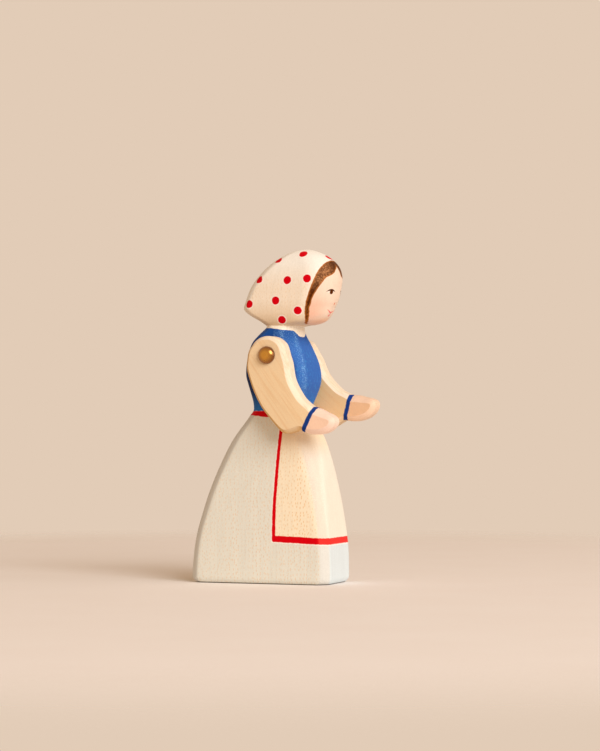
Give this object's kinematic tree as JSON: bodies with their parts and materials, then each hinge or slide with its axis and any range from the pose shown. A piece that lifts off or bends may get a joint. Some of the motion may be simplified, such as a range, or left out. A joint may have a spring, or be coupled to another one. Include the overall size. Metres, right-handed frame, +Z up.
{
  "type": "peg doll",
  "caption": "Carved wooden figure of a woman in a kerchief and long skirt, with flat arms that swing on dome-headed nails.",
  "frame": {"origin": "middle of the underside of the hem, on the surface that the doll stands on", "axes": "+Z up, the face looks along -Y, the doll's left arm is on the +X side"},
  "size_m": [0.0406, 0.0585, 0.113],
  "materials": {
    "figure_wood": "stained",
    "arm_wood": "oiled",
    "nail_brass": "polished"
  },
  "bodies": {
    "figure": {"figure": "figure_wood", "right_nail": "nail_brass", "left_nail": "nail_brass"},
    "right_arm": {"right_arm": "arm_wood"},
    "left_arm": {"left_arm": "arm_wood"}
  },
  "joints": [
    {"name": "right_shoulder", "type": "hinge", "parent": "figure", "child": "right_arm", "pos_m": [-0.01435, -0.0053, 0.0768], "axis": [1, 0, 0], "continuous": true},
    {"name": "left_shoulder", "type": "hinge", "parent": "figure", "child": "left_arm", "pos_m": [0.01435, -0.0053, 0.0768], "axis": [1, 0, 0], "continuous": true}
  ]
}
